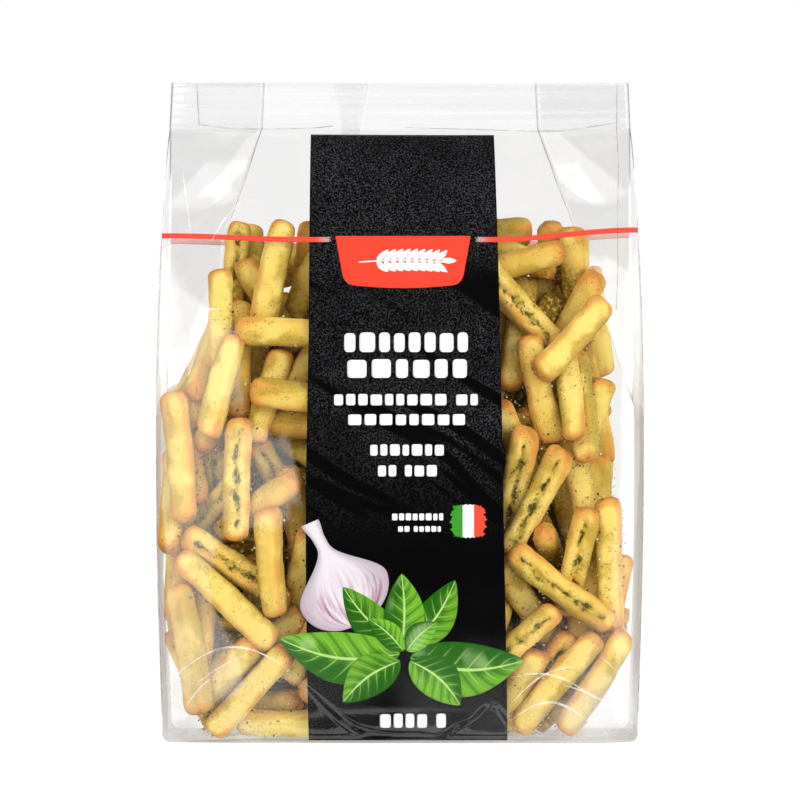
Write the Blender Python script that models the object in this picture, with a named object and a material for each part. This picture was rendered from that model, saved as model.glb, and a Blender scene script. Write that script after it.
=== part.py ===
"""A clear film bag of short breadsticks, as one closed solid out to its film.

The bag stands on a squared base. Its two side panels hang straight low down and tuck
inwards higher up, as a deepening fold on each side, until front, back and folds are
pressed together in the crimped seal along the top. The sealed bag can't be opened
without tearing it, so film and contents are one solid.

Metres, +Z up, front towards -Y, origin in the middle of the base.
"""

import math

import bmesh
import bpy

# Driving dimensions
HEIGHT = 0.200
SEAL_BOTTOM = 0.186  # the crimped seal runs from here to the top
BASE_HALF_WIDTH = 0.0713
TOP_HALF_WIDTH = 0.0700
BELLY = 0.0026  # how much further out the sides are half way up
SIDE_PANEL_HALF = 0.0286  # from a corner of the bag to the crease down its side panel
TUCK_START = 0.096  # above this the side panels fold inwards
BASE_ROUNDING = 0.0025

# How the contents fill the film
PANEL_BULGE = 0.0034  # front and back between their corners
BULGE_RISE = 0.022  # the bulge is full this far above the base
SIDE_BULGE = 0.0010  # side panels below the folds
CORNER_SOFTNESS = 0.0042  # how far a filled corner is rounded back
LEFT_FOLD_SHARE = 0.62  # the left side tucks in early and holds this share of its depth
LEFT_FOLD_RISE = 0.024
DENT = 0.0009  # slack waves in the front and back
SEAL_SWAY = 0.0018  # the seal isn't straight when seen from above

# The crimped seal
SEAL_THICKNESS = 0.0009
CRIMPS = 6
CRIMP_DEPTH = 0.0003

# Facets
PANEL_STEPS = 24
SIDE_STEPS = 8
ROUNDING_STEPS = 3
BELLY_RINGS = 9
FOLD_RINGS = 15


def smooth_step(t):
    """0 below t = 0, 1 above t = 1, with a smooth rise between them."""
    t = min(max(t, 0.0), 1.0)
    return t * t * (3.0 - 2.0 * t)


def half_width(z):
    """Half the distance between the left and right corners at height z."""
    share = z / HEIGHT
    straight = BASE_HALF_WIDTH + (TOP_HALF_WIDTH - BASE_HALF_WIDTH) * share
    return straight + BELLY * math.sin(math.pi * share)


def closing(z):
    """0 where the side panels are open and 1 where the seal has closed them."""
    return min(max((z - TUCK_START) / (SEAL_BOTTOM - TUCK_START), 0.0), 1.0)


def half_depth(z):
    """Half the distance between the front and back corners at height z."""
    return SIDE_PANEL_HALF * (1.0 - closing(z) ** 2.2) ** 0.8


def tuck(z, side):
    """How far the crease of a side panel lies inside the corners; side is -1 or 1."""
    share = closing(z)
    if side < 0:
        held = smooth_step((z - TUCK_START) / LEFT_FOLD_RISE)
        share = max(share, LEFT_FOLD_SHARE * held)
    return SIDE_PANEL_HALF * share


def panel_bulge(z):
    """How far the middle of the front or back stands out past its corners."""
    low = min(z / BULGE_RISE, 1.0)
    high = min(z / SEAL_BOTTOM, 1.0)
    return PANEL_BULGE * low * (2.0 - low) * (1.0 - 1.25 * high**3)


def dent(x, z, facing):
    """Long slack waves in a panel, gone at the base, the seal, the corners and the middle."""
    u = x / half_width(z)
    fade = math.sin(math.pi * min(z / SEAL_BOTTOM, 1.0)) * (1.0 - u**4) * (1.0 - math.exp(-9.0 * u * u))
    waves = math.sin(95.0 * x + 60.0 * z + facing) + math.sin(48.0 * x - 110.0 * z + 2.0 * facing)
    return DENT * fade * waves


def sway(x, z):
    """The seal's slow S-bend front to back, which fades out down the bag."""
    return SEAL_SWAY * math.sin(46.0 * x + 0.6) * smooth_step((z - 0.14) / (HEIGHT - 0.14))


def panel_point(u, z, facing):
    """A point of the front (facing -1) or back (1); u runs from -1, left, to 1, right."""
    width = half_width(z)
    x = width * u
    depth = half_depth(z) + panel_bulge(z) * (1.0 - u * u) + dent(x, z, facing)
    depth -= CORNER_SOFTNESS * (1.0 - closing(z)) * u**14
    return x, facing * depth


def side_point(v, z, side):
    """A point of a side panel; v runs from -1, the front corner, over 0, the crease, to 1."""
    corner = half_depth(z) - CORNER_SOFTNESS * (1.0 - closing(z))
    bulge = SIDE_BULGE * (1.0 - v * v) * math.sin(math.pi * min(z / TUCK_START, 1.0))
    inset = tuck(z, side) * (1.0 - abs(v))
    return side * (half_width(z) + bulge - inset), v * corner


def bag_section(z, inset=0.0):
    """The bag's outline at height z, anticlockwise from the front left corner, moved in by inset."""
    outline = [panel_point(2.0 * i / PANEL_STEPS - 1.0, z, -1) for i in range(PANEL_STEPS)]
    outline += [side_point(2.0 * i / SIDE_STEPS - 1.0, z, 1) for i in range(SIDE_STEPS)]
    outline += [panel_point(1.0 - 2.0 * i / PANEL_STEPS, z, 1) for i in range(PANEL_STEPS)]
    outline += [side_point(1.0 - 2.0 * i / SIDE_STEPS, z, -1) for i in range(SIDE_STEPS)]
    width, depth = half_width(z), half_depth(z)
    return [(x * (1.0 - inset / width), y * (1.0 - inset / depth) + sway(x, z), z) for x, y in outline]


def seal_section(z, ridge):
    """The flat seal at height z: the same points as bag_section, pressed to its thickness."""
    half = SEAL_THICKNESS / 2.0
    width = half_width(z)
    front = [(width * (2.0 * i / PANEL_STEPS - 1.0), -half) for i in range(PANEL_STEPS)]
    right = [(width, half * (2.0 * i / SIDE_STEPS - 1.0)) for i in range(SIDE_STEPS)]
    outline = front + right
    outline += [(-x, -y) for x, y in outline]
    return [(x, y + ridge + sway(x, z), z) for x, y in outline]


def sections():
    """All the outlines that the bag is lofted through, from the base up."""
    rings = []
    for i in range(ROUNDING_STEPS):
        turn = 0.5 * math.pi * i / ROUNDING_STEPS
        z = BASE_ROUNDING * (1.0 - math.cos(turn))
        rings.append(bag_section(z, BASE_ROUNDING * (1.0 - math.sin(turn))))
    for i in range(BELLY_RINGS):
        rings.append(bag_section(BASE_ROUNDING + (TUCK_START - BASE_ROUNDING) * i / BELLY_RINGS))
    last = SEAL_BOTTOM - SEAL_THICKNESS
    for i in range(FOLD_RINGS + 1):
        # Closer rings near the seal, where the folds close fastest
        share = math.sin(0.5 * math.pi * i / FOLD_RINGS)
        rings.append(bag_section(TUCK_START + (last - TUCK_START) * share))
    for i in range(2 * CRIMPS + 1):
        z = SEAL_BOTTOM + (HEIGHT - SEAL_BOTTOM) * i / (2 * CRIMPS)
        rings.append(seal_section(z, CRIMP_DEPTH * (-1) ** i / 2.0))
    return rings


def loft(name, rings):
    """A closed mesh through rings of equally many points, with a flat face on each end."""
    bm = bmesh.new()
    loops = [[bm.verts.new(point) for point in ring] for ring in rings]
    for low, high in zip(loops, loops[1:]):
        for i in range(len(low)):
            j = (i + 1) % len(low)
            bm.faces.new((low[i], low[j], high[j], high[i]))
    bm.faces.new(reversed(loops[0]))
    bm.faces.new(loops[-1])
    bmesh.ops.triangulate(bm, faces=bm.faces)
    mesh = bpy.data.meshes.new(name)
    bm.to_mesh(mesh)
    bm.free()
    return mesh


def film_over_breadsticks():
    """The colour of the golden contents under glossy film."""
    material = bpy.data.materials.new("film_over_breadsticks")
    material.use_nodes = True
    shader = material.node_tree.nodes["Principled BSDF"]
    shader.inputs["Base Color"].default_value = (0.72, 0.52, 0.20, 1.0)
    shader.inputs["Roughness"].default_value = 0.25
    shader.inputs["Metallic"].default_value = 0.0
    return material


def main():
    for obj in list(bpy.data.objects):
        bpy.data.objects.remove(obj, do_unlink=True)
    collection = bpy.data.collections.new("breadstick_bag")
    bpy.context.scene.collection.children.link(collection)
    mesh = loft("bag", sections())
    mesh.shade_smooth()
    mesh.set_sharp_from_angle(angle=math.radians(40.0))
    mesh.materials.append(film_over_breadsticks())
    collection.objects.link(bpy.data.objects.new("bag", mesh))


main()
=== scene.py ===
"""Looks for a clear film bag of short herb breadsticks.

The film is one closed sheet with its side folds and crimped seal, the print lies just
inside it, and the breadsticks are packed as rods that push each other apart and sink.
Lengths in this file are millimetres, and turn into metres where a mesh is made.
"""

import math

import bpy
import numpy as np
from bpy.props import FloatProperty, FloatVectorProperty, IntProperty, PointerProperty
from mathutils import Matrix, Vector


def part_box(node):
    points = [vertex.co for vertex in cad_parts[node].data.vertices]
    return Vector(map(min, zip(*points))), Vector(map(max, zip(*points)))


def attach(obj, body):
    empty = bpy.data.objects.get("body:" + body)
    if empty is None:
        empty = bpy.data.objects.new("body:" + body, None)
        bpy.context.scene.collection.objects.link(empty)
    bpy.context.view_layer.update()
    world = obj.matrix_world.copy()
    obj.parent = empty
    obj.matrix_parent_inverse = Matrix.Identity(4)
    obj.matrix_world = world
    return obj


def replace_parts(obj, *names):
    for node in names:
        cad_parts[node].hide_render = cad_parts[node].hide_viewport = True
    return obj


bl_info = {
    "name": "Breadstick Bag",
    "version": (1, 0, 0),
    "blender": (4, 5, 0),
    "location": "View3D > Sidebar > Bag",
    "description": "Dresses a sealed bag with film, print, breadsticks and crumbs",
    "category": "Object",
}

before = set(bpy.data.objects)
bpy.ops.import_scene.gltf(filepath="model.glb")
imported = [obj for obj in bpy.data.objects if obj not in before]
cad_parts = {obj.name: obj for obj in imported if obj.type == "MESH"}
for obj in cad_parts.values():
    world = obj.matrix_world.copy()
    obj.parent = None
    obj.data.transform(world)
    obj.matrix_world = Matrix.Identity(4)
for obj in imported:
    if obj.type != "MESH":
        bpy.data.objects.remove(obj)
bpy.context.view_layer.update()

MM = 0.001
LOW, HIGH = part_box("bag")
HEIGHT = (HIGH.z - LOW.z) / MM

# The bag's driving sizes, as shares of its height
SEAL_BOTTOM = 0.93 * HEIGHT
BASE_HALF_WIDTH = 0.3565 * HEIGHT
TOP_HALF_WIDTH = 0.350 * HEIGHT
BELLY = 0.013 * HEIGHT
SIDE_PANEL_HALF = 0.143 * HEIGHT
TUCK_START = 0.48 * HEIGHT
PANEL_BULGE = 0.017 * HEIGHT
BULGE_RISE = 0.11 * HEIGHT
CORNER_SOFTNESS = 0.021 * HEIGHT
SIDE_BULGE = 0.005 * HEIGHT
LEFT_FOLD_SHARE = 0.62
LEFT_FOLD_RISE = 0.12 * HEIGHT
DENT = 0.0045 * HEIGHT
SEAL_SWAY = 0.009 * HEIGHT
BASE_ROUNDING = 0.0125 * HEIGHT
CRIMPS = 6
CRIMP_DEPTH = 0.07
LAYER_GAP = 0.16  # between the four layers of film in the seal

# The print: the band's edges, and how far each ink lies inside the film
BAND_LEFT = -27.3
BAND_RIGHT_TOP, BAND_RIGHT_BASE = 28.8, 32.2
BAND_TOP = 0.9205 * HEIGHT
LINE_HEIGHT = 0.7555 * HEIGHT
BAND_INSET = 0.42
INK_THICKNESS = 0.02

FRONT, BACK = -1, 1


# ---------------------------------------------------------------- shape of the bag


def smooth_step(t):
    """0 below t = 0, 1 above t = 1, and 3t^2 - 2t^3 between them."""
    t = np.clip(t, 0.0, 1.0)
    return t * t * (3.0 - 2.0 * t)


def half_width(z):
    """Half the width at height z: a straight taper plus half a sine wave of belly."""
    share = z / HEIGHT
    return BASE_HALF_WIDTH + (TOP_HALF_WIDTH - BASE_HALF_WIDTH) * share + BELLY * np.sin(np.pi * share)


def closing(z):
    """How far the side folds have closed at height z, from 0, open, to 1 at the seal."""
    return np.clip((z - TUCK_START) / (SEAL_BOTTOM - TUCK_START), 0.0, 1.0)


def half_depth(z):
    """Half the depth at the corners: the side panel's half times (1 - closing^2.2)^0.8."""
    return SIDE_PANEL_HALF * (1.0 - closing(z) ** 2.2) ** 0.8


def tuck(z, side):
    """How far a side panel's crease lies inside the corners. The left one tucks in early."""
    share = closing(z)
    if side < 0:
        share = np.maximum(share, LEFT_FOLD_SHARE * smooth_step((z - TUCK_START) / LEFT_FOLD_RISE))
    return SIDE_PANEL_HALF * share


def lattice_heights(shape, seed):
    """Random heights from 0 to 1 for the corners of a lattice."""
    return np.random.default_rng(seed).random(shape)


def crumple(x, z, cell, seed):
    """Flat facets with sharp creases between them, from 0 to 1.

    Random heights stand on a square lattice whose lines are bent by slow sine waves. Each
    square is split along a diagonal, and the height is linear within each triangle.
    """
    a = x / cell + 0.45 * np.sin(z / cell * 0.9 + seed) + 20.0
    b = z / cell + 0.45 * np.sin(x / cell * 1.1 + 2.0 * seed) + 20.0
    i = np.floor(a).astype(int) % 64
    j = np.floor(b).astype(int) % 64
    fa, fb = a - np.floor(a), b - np.floor(b)
    heights = lattice_heights((66, 66), seed)
    h00, h10 = heights[i, j], heights[i + 1, j]
    h01, h11 = heights[i, j + 1], heights[i + 1, j + 1]
    lower = h00 + fa * (h10 - h00) + fb * (h01 - h00)
    upper = h11 + (1.0 - fa) * (h01 - h11) + (1.0 - fb) * (h10 - h11)
    return np.where(fa + fb < 1.0, lower, upper)


def base_folds(x, z):
    """How far the film steps inwards near the base, below a line that swings up twice."""
    line = 3.2 + 19.0 * np.exp(-(((x + 35.0) / 16.0) ** 2)) + 9.5 * np.exp(-(((x - 26.0) / 8.5) ** 2))
    line = line + 1.2 * np.sin(0.5 * x) * np.exp(-(((x - 22.0) / 14.0) ** 2))
    return 0.75 * smooth_step((line - z) / 3.4)


def slack(x, z, facing):
    """How far the loose film stands off its smooth shape.

    Long dents, as in the solid, plus small facets over the contents, larger ones in the
    empty part above them, and upright pleats that fade out below the seal. The printed
    middle is stiffer and stays nearly flat.
    """
    share = np.clip(z / SEAL_BOTTOM, 0.0, 1.0)
    u = np.clip(x / half_width(z), -1.0, 1.0)
    waves = np.sin(0.095 * x + 0.060 * z + facing) + np.sin(0.048 * x - 0.110 * z + 2.0 * facing)
    aside = 1.0 - np.exp(-9.0 * u * u)
    dents = DENT * np.sin(np.pi * share) * (1.0 - u**4) * aside * waves
    stiff = 0.2 + 0.8 * smooth_step((np.abs(x - 1.5) - 27.0) / 9.0)
    empty = smooth_step((z - 0.70 * HEIGHT) / (0.1 * HEIGHT))
    closed = smooth_step((SEAL_BOTTOM - z) / 9.0)
    grounded = smooth_step(z / 6.0)
    small = 0.45 * crumple(x, z, 13.0, 11 + facing) * (1.0 - empty)
    large = 1.5 * crumple(x, 0.8 * z, 17.0, 23 + facing) * empty
    pleats = 0.5 * np.sin(0.31 * x + 1.3 * facing) * smooth_step((z - 0.82 * HEIGHT) / (0.1 * HEIGHT))
    loose = (small + large + pleats) * stiff * closed * grounded * (1.0 - u**8)
    return dents + loose - base_folds(x * -facing, z)


def panel_depth(x, z, facing):
    """Distance of the front or back film from the bag's middle plane at x and z.

    Half the depth at the corners, plus a bulge that falls off with the square of the
    distance from the middle, less a rounding near the corners, plus the film's slack.
    """
    low = np.clip(z / BULGE_RISE, 0.0, 1.0)
    high = np.clip(z / SEAL_BOTTOM, 0.0, 1.0)
    bulge = PANEL_BULGE * low * (2.0 - low) * (1.0 - 1.25 * high**3)
    u = np.clip(x / half_width(z), -1.0, 1.0)
    rounding = CORNER_SOFTNESS * (1.0 - closing(z)) * u**14
    return half_depth(z) + bulge * (1.0 - u * u) - rounding + slack(x, z, facing)


def sway(x, z):
    """The seal's slow bend front to back, a sine along x that fades out down the bag."""
    return SEAL_SWAY * np.sin(0.046 * x + 0.6) * smooth_step((z - 0.7 * HEIGHT) / (0.3 * HEIGHT))


def crimp(z):
    """The rib of the pressed seal at height z, a sine wave across its height."""
    turn = 2.0 * np.pi * CRIMPS * (z - SEAL_BOTTOM) / (HEIGHT - SEAL_BOTTOM)
    return CRIMP_DEPTH * np.sin(turn) * (z > SEAL_BOTTOM)


def on_panel(x, z, facing, inset=0.0):
    """Points on the front or back film at x and z, moved into the bag by inset."""
    x, z = np.broadcast_arrays(x, z)
    depth = np.maximum(panel_depth(x, z, facing), 1.5 * LAYER_GAP) - inset
    return np.stack([x, facing * depth + sway(x, z) + crimp(z), z], axis=-1)


def on_side(v, z, side):
    """Points on a side panel, with v from -1 at the front corner, over 0, its crease, to 1."""
    v, z = np.broadcast_arrays(v, z)
    corner = np.maximum(half_depth(z) - CORNER_SOFTNESS * (1.0 - closing(z)), 1.5 * LAYER_GAP)
    low = np.sin(np.pi * np.clip(z / TUCK_START, 0.0, 1.0))
    bulge = (SIDE_BULGE + 0.3 * crumple(30.0 * v, z, 11.0, 31 + side)) * (1.0 - v * v) * low
    folded = smooth_step((z - TUCK_START) / 20.0) * smooth_step((SEAL_BOTTOM - z) / 10.0)
    flutter = 1.6 * (crumple(28.0 * v, z, 15.0, 41 + side) - 0.5) * folded * (1.0 - v * v)
    x = side * (half_width(z) + bulge - tuck(z, side) * (1.0 - np.abs(v)) + flutter)
    pinch = np.where(z > SEAL_BOTTOM - 1.0, np.sign(v) * (0.5 + 0.5 * np.abs(v)), v)
    return np.stack([x, pinch * corner + sway(x, z) + crimp(z), z], axis=-1)


# ---------------------------------------------------------------- mesh helpers


def make_piece(name, points, faces, material, body="root"):
    """A mesh object from points in millimetres that rides on a body and has one material."""
    mesh = bpy.data.meshes.new(name)
    mesh.from_pydata((np.asarray(points, float).reshape(-1, 3) * MM).tolist(), [], faces)
    mesh.update()
    mesh.shade_smooth()
    mesh.materials.append(material)
    piece = bpy.data.objects.new(name, mesh)
    bpy.context.scene.collection.objects.link(piece)
    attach(piece, body)
    return piece


def grid_faces(rows, columns, start=0, wrap=False):
    """Quads over a grid of points stored row by row; wrap joins its last column to its first."""
    i = np.arange(rows - 1)[:, None]
    j = np.arange(columns if wrap else columns - 1)[None, :]
    k = (j + 1) % columns
    quads = [i * columns + j, i * columns + k, (i + 1) * columns + k, (i + 1) * columns + j]
    return (np.stack(quads, axis=-1).reshape(-1, 4) + start).tolist()


def slab(outer, inner):
    """Points and faces of a closed slab between two grids; outer's quads face outwards."""
    rows, columns = outer.shape[:2]
    count = rows * columns
    points = np.concatenate([outer.reshape(-1, 3), inner.reshape(-1, 3)])
    top = np.array(grid_faces(rows, columns))
    index = np.arange(count).reshape(rows, columns)
    loop = np.concatenate([index[0, :-1], index[:-1, -1], index[-1, :0:-1], index[:0:-1, 0]])
    after = np.roll(loop, -1)
    rim = np.stack([after, loop, loop + count, after + count], axis=-1)
    faces = np.concatenate([top, top[:, ::-1] + count, rim])
    return points, faces.tolist()


def join_parts(parts):
    """One list of points and one of faces from several (points, faces) pairs."""
    points, faces, start = [], [], 0
    for part_points, part_faces in parts:
        points.append(part_points)
        faces += [[k + start for k in face] for face in part_faces]
        start += len(part_points)
    return np.concatenate(points), faces


def printed(x, z, facing, inset):
    """A closed slab of ink on the inside of the front or back film over a grid of x and z."""
    outer = on_panel(x, z, facing, inset)
    inner = on_panel(x, z, facing, inset + INK_THICKNESS)
    if facing == BACK:
        outer, inner = outer[:, ::-1], inner[:, ::-1]
    return slab(outer, inner)


def set_marks(piece, name, marks):
    """A colour attribute on a piece's points; marks has up to four columns from 0 to 1."""
    colors = np.ones((len(piece.data.vertices), 4))
    colors[:, : marks.shape[1]] = marks
    attribute = piece.data.color_attributes.new(name, "FLOAT_COLOR", "POINT")
    attribute.data.foreach_set("color", colors.ravel())


# ---------------------------------------------------------------- materials


def new_material(name):
    """An empty node material, its node tree and its output."""
    material = bpy.data.materials.new(name)
    material.use_nodes = True
    tree = material.node_tree
    tree.nodes.clear()
    return material, tree, tree.nodes.new("ShaderNodeOutputMaterial")


def add(tree, kind, inputs=None, **settings):
    """A node with its settings, and its inputs set to values or linked to sockets."""
    node = tree.nodes.new("ShaderNode" + kind)
    for key, value in settings.items():
        setattr(node, key, value)
    for key, value in (inputs or {}).items():
        if isinstance(value, bpy.types.NodeSocket):
            tree.links.new(value, node.inputs[key])
        else:
            node.inputs[key].default_value = value
    return node


def object_coordinates(tree, scale=(1.0, 1.0, 1.0), rotation=(0.0, 0.0, 0.0)):
    """Object coordinates through a Mapping node."""
    coordinates = add(tree, "TexCoord").outputs["Object"]
    mapping = add(tree, "Mapping", {"Vector": coordinates, "Scale": scale, "Rotation": rotation})
    return mapping.outputs["Vector"]


def noise(tree, vector, scale, detail=3.0, roughness=0.5):
    """A noise texture's value."""
    inputs = {"Vector": vector, "Scale": scale, "Detail": detail, "Roughness": roughness}
    return add(tree, "TexNoise", inputs).outputs["Fac"]


def ramp(tree, value, low, high, start=0.0, end=1.0):
    """A value's share between low and high, as a smooth step from start to end."""
    inputs = {"Value": value, "From Min": low, "From Max": high, "To Min": start, "To Max": end}
    return add(tree, "MapRange", inputs, interpolation_type="SMOOTHSTEP").outputs["Result"]


def mix(tree, share, first, second, blend="MIX"):
    """Two colours mixed by a share."""
    node = add(tree, "Mix", data_type="RGBA", blend_type=blend)
    for socket, value in zip((node.inputs[0], node.inputs[6], node.inputs[7]), (share, first, second)):
        if isinstance(value, bpy.types.NodeSocket):
            tree.links.new(value, socket)
        else:
            socket.default_value = value if socket.type == "VALUE" else (*value, 1.0)[:4]
    return node.outputs[2]


def times(tree, first, second, operation="MULTIPLY"):
    """Two values put through a Math node."""
    return add(tree, "Math", {0: first, 1: second}, operation=operation).outputs[0]


def marks_of(tree, name):
    """The red, green, blue and alpha of a piece's colour attribute."""
    attribute = add(tree, "Attribute", attribute_name=name, attribute_type="GEOMETRY").outputs
    split = add(tree, "SeparateColor", {0: attribute["Color"]}).outputs
    return split[0], split[1], split[2], attribute["Alpha"]


def height_of(tree):
    """The height above the base in metres."""
    return add(tree, "SeparateXYZ", {0: add(tree, "TexCoord").outputs["Object"]}).outputs["Z"]


def film_material():
    """Clear glossy film: see-through, with a mirror that grows towards grazing angles.

    The pressed seal is a little milky, with faint ribs, and dust veils the lowest corners.
    """
    material, tree, output = new_material("clear_film")
    place = object_coordinates(tree)
    fine = noise(tree, place, 260.0, 2.0)
    bump = add(tree, "Bump", {"Strength": 0.05, "Distance": 0.0005, "Height": fine}).outputs[0]
    facing = add(tree, "LayerWeight", {"Blend": 0.5, "Normal": bump}).outputs["Facing"]
    grazing = times(tree, facing, 4.0, "POWER")
    mirror = add(tree, "Math", {0: grazing, 1: 0.50, 2: 0.060}, operation="MULTIPLY_ADD").outputs[0]
    gloss = add(tree, "BsdfGlossy", {"Color": (1.0, 1.0, 1.0, 1.0), "Roughness": 0.05, "Normal": bump})
    clear = add(tree, "BsdfTransparent", {"Color": (0.99, 0.99, 0.99, 1.0)})
    glossy = add(tree, "MixShader", {0: mirror, 1: clear.outputs[0], 2: gloss.outputs[0]})
    height = height_of(tree)
    sealed = ramp(tree, height, (SEAL_BOTTOM - 0.6) * MM, (SEAL_BOTTOM + 0.2) * MM)
    ribs = noise(tree, object_coordinates(tree, (5.0, 5.0, 380.0)), 1.0, 1.0)
    milk = times(tree, sealed, ramp(tree, ribs, 0.38, 0.62, 0.06, 0.24))
    milk = times(tree, milk, times(tree, times(tree, facing, 5.0, "POWER"), 0.45), "ADD")
    aside = add(tree, "SeparateXYZ", {0: add(tree, "TexCoord").outputs["Object"]}).outputs["X"]
    aside = add(tree, "Math", {0: times(tree, aside, 0.003, "SUBTRACT")}, operation="ABSOLUTE").outputs[0]
    corners = times(tree, ramp(tree, height, 0.050, 0.0), ramp(tree, aside, 0.028, 0.060, 0.10, 1.0))
    dust = times(tree, corners, ramp(tree, noise(tree, place, 45.0), 0.35, 0.65, 0.04, 0.36))
    milky = add(tree, "BsdfDiffuse", {"Color": (0.86, 0.86, 0.86, 1.0)})
    share = times(tree, milk, dust, "MAXIMUM")
    blend = add(tree, "MixShader", {0: share, 1: glossy.outputs[0], 2: milky.outputs[0]})
    tree.links.new(blend.outputs[0], output.inputs["Surface"])
    return material


def crease_material(name, shade, low, high):
    """Film along a sharp fold, half see-through: a painted highlight on partly whitened film, or painted shade
    where it bends the light.
    """
    material, tree, output = new_material(name)
    broken = ramp(tree, noise(tree, object_coordinates(tree), 240.0), 0.35, 0.65, low, high)
    white = add(tree, "BsdfDiffuse", {"Color": (shade, shade, shade, 1.0)})
    clear = add(tree, "BsdfTransparent", {"Color": (1.0, 1.0, 1.0, 1.0)})
    blend = add(tree, "MixShader", {0: broken, 1: clear.outputs[0], 2: white.outputs[0]})
    tree.links.new(blend.outputs[0], output.inputs["Surface"])
    return material


def finish_ink(tree, output, color, roughness=0.5):
    """Connects a colour to the output as ink, whose own shine the film over it replaces."""
    inputs = {"Base Color": color, "Roughness": roughness, "Specular IOR Level": 0.0}
    surface = add(tree, "BsdfPrincipled", inputs)
    tree.links.new(surface.outputs[0], output.inputs["Surface"])


def ink_material(name, color, shade=0.92):
    """Plain ink seen through the film that it is printed on, with a faint uneven grain."""
    material, tree, output = new_material(name)
    grain = noise(tree, object_coordinates(tree), 900.0, 2.0)
    tone = mix(tree, ramp(tree, grain, 0.3, 0.7), color, [shade * c for c in color[:3]])
    finish_ink(tree, output, tone)
    return material


def slate_material():
    """Black ink printed as slate: grey specks, faint clouds and long dark slanting strokes."""
    material, tree, output = new_material("slate_print")
    place = object_coordinates(tree)
    specks = ramp(tree, noise(tree, place, 1900.0, 2.0, 0.6), 0.44, 0.66)
    clouds = ramp(tree, noise(tree, place, 34.0, 3.0), 0.30, 0.70, 0.35, 1.0)
    warp = add(tree, "TexNoise", {"Vector": place, "Scale": 16.0, "Detail": 1.0}).outputs["Color"]
    warp = add(tree, "VectorMath", {0: warp, "Scale": 0.014}, operation="SCALE").outputs[0]
    curved = add(tree, "VectorMath", {0: place, 1: warp}, operation="ADD").outputs[0]
    turned = {"Vector": curved, "Rotation": (0.0, math.radians(32.0), 0.0), "Scale": (0.075, 1.0, 0.0062)}
    slanted = add(tree, "Mapping", turned, vector_type="TEXTURE").outputs[0]
    strokes = ramp(tree, noise(tree, slanted, 1.0, 1.0, 0.4), 0.545, 0.585, 1.0, 0.04)
    height = height_of(tree)
    strokes = times(tree, strokes, ramp(tree, height, 0.136, 0.150), "MAXIMUM")
    share = times(tree, times(tree, specks, clouds), times(tree, strokes, ramp(tree, height, 0.055, 0.098)))
    color = mix(tree, share, (0.0016, 0.0016, 0.0018), (0.048, 0.049, 0.052))
    finish_ink(tree, output, color, 0.6)
    return material


def leaf_material():
    """Printed green leaves: a pale midrib, side veins, one half lighter, glossy patches."""
    material, tree, output = new_material("printed_leaves")
    along, across, tone, _ = marks_of(tree, "leaf")
    off = times(tree, times(tree, across, 0.5, "SUBTRACT"), 2.0)
    away = add(tree, "Math", {0: off}, operation="ABSOLUTE").outputs[0]
    patches = noise(tree, object_coordinates(tree), 170.0, 2.0)
    light = ramp(tree, times(tree, off, times(tree, patches, 1.6), "ADD"), 0.3, 1.5)
    green = mix(tree, light, (0.022, 0.145, 0.006), (0.20, 0.50, 0.035))
    green = mix(tree, times(tree, tone, 0.45), green, (0.012, 0.085, 0.004))
    phase = times(tree, times(tree, along, 7.0), times(tree, away, 1.3), "SUBTRACT")
    wave = add(tree, "Math", {0: phase}, operation="FRACT").outputs[0]
    near = add(tree, "Math", {0: times(tree, wave, 0.5, "SUBTRACT")}, operation="ABSOLUTE").outputs[0]
    veins = times(tree, ramp(tree, near, 0.10, 0.02), ramp(tree, away, 1.0, 0.2))
    hollows = ramp(tree, near, 0.30, 0.48, 0.0, 0.55)
    green = mix(tree, hollows, green, (0.015, 0.11, 0.005))
    green = mix(tree, times(tree, veins, 0.55), green, (0.40, 0.68, 0.14))
    green = mix(tree, ramp(tree, away, 0.075, 0.03), green, (0.48, 0.72, 0.22))
    shine = times(tree, ramp(tree, noise(tree, object_coordinates(tree), 95.0, 1.0), 0.58, 0.72), 0.40)
    green = mix(tree, times(tree, shine, ramp(tree, away, 1.0, 0.5)), green, (0.50, 0.74, 0.30))
    finish_ink(tree, output, green)
    return material


def bulb_material():
    """A printed pale bulb: grey-white skin with pink strokes from its base upwards."""
    material, tree, output = new_material("printed_bulb")
    along, across, _, _ = marks_of(tree, "bulb")
    fan = add(tree, "CombineXYZ", {"X": times(tree, across, 13.0), "Y": times(tree, along, 1.6)}).outputs[0]
    lines = ramp(tree, noise(tree, fan, 1.6, 3.0, 0.6), 0.40, 0.66)
    low = ramp(tree, along, 0.62, 0.12)
    off = times(tree, times(tree, across, 0.5, "SUBTRACT"), 2.0)
    away = add(tree, "Math", {0: off}, operation="ABSOLUTE").outputs[0]
    skin = mix(tree, ramp(tree, away, 0.35, 1.0), (0.80, 0.75, 0.78), (0.50, 0.44, 0.49))
    pink = mix(tree, ramp(tree, noise(tree, fan, 0.5, 1.0), 0.40, 0.62), (0.56, 0.33, 0.42), (0.32, 0.07, 0.15))
    skin = mix(tree, times(tree, lines, low), skin, pink)
    finish_ink(tree, output, skin)
    return material


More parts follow.
